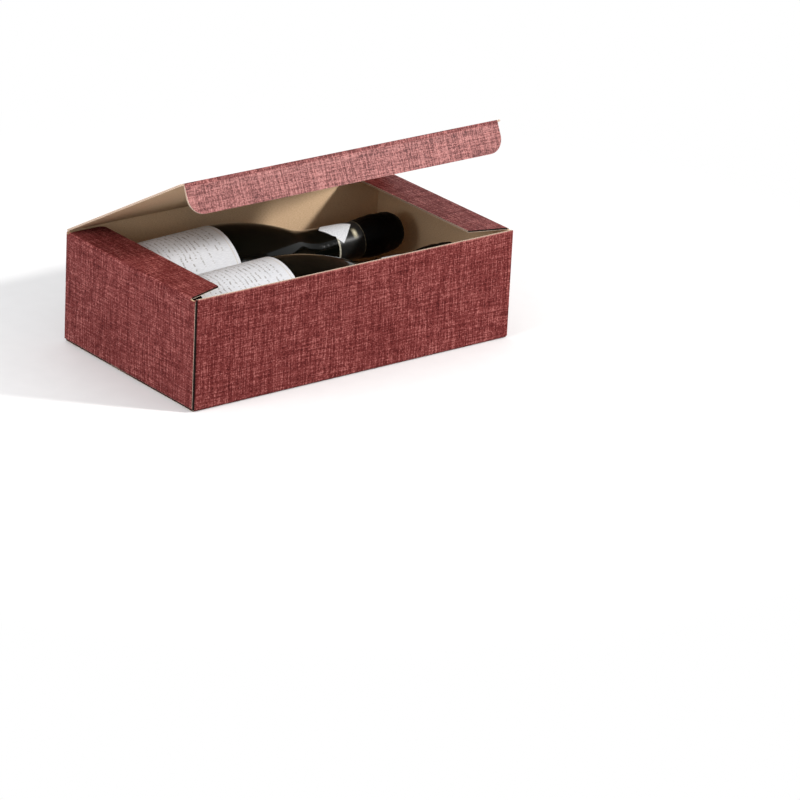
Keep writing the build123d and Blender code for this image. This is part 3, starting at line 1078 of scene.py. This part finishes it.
def collar_finish():
    """Dark band paper with a white lozenge, a silver line and a painted glint."""
    finish, tree = new_finish("neck_collar_paper")
    ways = map_ways(tree)
    along, around = ways[0], ways[1]
    laid = grain(tree, 900, 900, 6.0, detail=3.0)
    white = mottled(tree, laid, (206, 211, 218), (236, 239, 243))
    black = mottled(tree, laid, (20, 20, 20), (36, 36, 35))
    silver = mottled(tree, laid, (142, 138, 120), (198, 194, 178))
    # Pale gold for the painted glint on the band's near side.
    bare_metal_and_glint = mottled(tree, laid, (176, 166, 134), (226, 220, 196))
    middle = (LOZENGE_LOW + LOZENGE_HIGH) / 2
    far_along = maths(tree, "ABSOLUTE", maths(tree, "SUBTRACT", along, middle))
    far_along = maths(tree, "DIVIDE", far_along, (LOZENGE_HIGH - LOZENGE_LOW) / 2)
    far_round = maths(tree, "DIVIDE", maths(tree, "ABSOLUTE", around), LOZENGE_HALF_ROUND)
    lozenge = ranged(tree, maths(tree, "ADD", far_along, far_round), 1.0, 0.97)
    line = inside(tree, along, BAND_EDGE + LINE_INSET, LINE_HALF)
    glint = maths(tree, "MULTIPLY", inside(tree, along, *GLINT_ALONG), inside(tree, around, *GLINT_ROUND))
    colour = blended(tree, line, black, silver)
    colour = blended(tree, glint, colour, bare_metal_and_glint)
    colour = blended(tree, lozenge, colour, white)
    roughness = ranged(tree, lozenge, 0.0, 1.0, 0.3, 0.6)
    coat(tree, colour, roughness, gloss=0.14, relief=laid, strength=0.2, depth=0.0001)
    return finish


collar_paper = collar_finish()
for side in SIDES:
    collar = copy_of(f"{side}_bottle_neck_collar", f"{side}_collar")
    lay_round(collar, side, LABEL_TURN, NECK_RADIUS)
    collar.data.materials.append(collar_paper)
    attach(collar, "box")
    print(collar.name, len(collar.data.polygons), "faces")

# %% [markdown]
# ## The floor
# A pale studio floor catches the box's shadow and fades to white away from it. A white floor would throw
# much light back up, so the light that bounces off it sees a grey one. Only rays that show the floor see it
# white.

# %% Floor
FLOOR_RADIUS = 6.0
FLOOR_DROP = 0.0002
FLOOR_SEGMENTS = 96
FADE_START = 0.28
FADE_END = 0.62


def studio_rays(tree):
    """1 for rays that show the background: straight, reflected or refracted."""
    path = add(tree, "LightPath").outputs
    seen = maths(tree, "MAXIMUM", path["Is Camera Ray"], path["Is Glossy Ray"])
    return maths(tree, "MAXIMUM", seen, path["Is Transmission Ray"])


def grey(level):
    """A grey of one level of light."""
    return (level, level, level, 1)


def floor_finish():
    """White floor paper that fades to plain white away from the object."""
    finish, tree = new_finish("studio_floor")
    place = add(tree, "TexCoord").outputs["Object"]
    away = add(tree, "VectorMath", {0: place}, operation="LENGTH").outputs["Value"]
    fade = maths(tree, "MULTIPLY", ranged(tree, away, FADE_START, FADE_END), studio_rays(tree))
    mottle = add(tree, "TexNoise", {"Vector": place, "Scale": 60.0}).outputs["Fac"]
    colour = blended(tree, mottle, grey(0.86), grey(0.9))
    colour = blended(tree, studio_rays(tree), grey(0.42), colour)
    paper = add(tree, "BsdfDiffuse", {"Color": colour})
    white = add(tree, "Emission", {"Color": grey(1), "Strength": 1.0})
    show(tree, add(tree, "MixShader", {0: fade, 1: paper.outputs[0], 2: white.outputs[0]}))
    return finish


floor_shape = bmesh.new()
bmesh.ops.create_circle(floor_shape, cap_ends=True, segments=FLOOR_SEGMENTS, radius=FLOOR_RADIUS)
floor_mesh = bpy.data.meshes.new("studio_floor")
floor_shape.to_mesh(floor_mesh)
floor_shape.free()
floor = link_piece("studio_floor", floor_mesh)
floor.location.z = -FLOOR_DROP
floor_mesh.materials.append(floor_finish())
floor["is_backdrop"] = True
print("floor radius", FLOOR_RADIUS, "m")

# %% [markdown]
# ## The background
# The world is plain white to the camera and in reflections, and a softer level of it lights the object from
# all round, so that no shadow is black.

# %% World
SKY = (0.98, 0.985, 1.0, 1)
SKY_STRENGTH = 0.62
world = bpy.data.worlds.new("studio")
bpy.context.scene.world = world
world.use_nodes = True
world_tree = world.node_tree
world_tree.nodes.clear()
all_round = add(world_tree, "Background", {"Color": SKY, "Strength": SKY_STRENGTH})
backdrop = add(world_tree, "Background", {"Color": grey(1), "Strength": 1.0})
levels = {0: studio_rays(world_tree), 1: all_round.outputs[0], 2: backdrop.outputs[0]}
world_mix = add(world_tree, "MixShader", levels)
add(world_tree, "OutputWorld", {"Surface": world_mix.outputs[0]})
print("light from all round", SKY_STRENGTH)

# %% [markdown]
# ## Light
# The picture has one clear lamp from the front right, which throws a bright patch under the lid onto the
# back wall, a broad soft one from the left that fills the left wall and the inside, and a faint one behind.

# %% Lamps
def soft_lamp(name, place, target, size, watts, colour=(1, 1, 1)):
    """A square lamp that points at a target and isn't seen itself."""
    data = bpy.data.lights.new(name, "AREA")
    data.shape = "SQUARE"
    data.size = size
    data.energy = watts
    data.color = colour
    lamp = link_piece(name, data)
    lamp.location = place
    lamp.rotation_mode = "QUATERNION"
    lamp.rotation_quaternion = (Vector(target) - Vector(place)).to_track_quat("-Z", "Y")
    lamp.visible_camera = False


WARM = (1.0, 0.985, 0.965)
soft_lamp("key", place=(1.22, -1.44, 1.12), target=(0.03, 0.0, 0.08), size=0.18, watts=43.0, colour=WARM)
soft_lamp("side_fill", place=(-0.9, -0.1, 0.45), target=(0.05, 0.0, 0.06), size=0.5, watts=5.0)
soft_lamp("back_fill", place=(0.2, 1.3, 0.7), target=(0.0, 0.0, 0.05), size=0.8, watts=3.5)
print("lamps", [light.name for light in bpy.data.lights])

# %% [markdown]
# ## Camera
# The camera stands where the box's edges run as they do in the photograph: to the left and above, far off
# with a long lens. The box lies up and left of the picture's middle, so the camera simply looks past it,
# with no lens shift.

# %% Camera
CAMERA_PLACE = (-2.1173, -2.7979, 1.3665)
LENS = 202.858
SENSOR = 36.0
AZIMUTH = -0.67533
RISE = 0.38381
ROLL = 0.05029
NEAREST = 0.05
FARTHEST = 60.0
camera_data = bpy.data.cameras.new("camera")
camera_data.sensor_width = SENSOR
camera_data.lens = LENS
camera_data.clip_start = NEAREST
camera_data.clip_end = FARTHEST
camera = link_piece("camera", camera_data)
back = Vector((math.sin(AZIMUTH) * math.cos(RISE), -math.cos(AZIMUTH) * math.cos(RISE), math.sin(RISE)))
camera.location = CAMERA_PLACE
camera.rotation_mode = "QUATERNION"
camera.rotation_quaternion = Quaternion(back, ROLL) @ (-back).to_track_quat("-Z", "Y")
bpy.context.scene.camera = camera
bpy.context.scene.view_settings.view_transform = "Standard"
print("camera at", [round(x, 3) for x in camera.location], "lens", LENS)

# %% [markdown]
# ## Sizes, and the end
# The dressed model's box is printed here, to stand beside the solid model's box printed at the start.
# The dressed model has to stay in the solid model's box.

# %% Print the boxes and finish
low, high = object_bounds()
print("visual model from", list(low), "to", list(high))
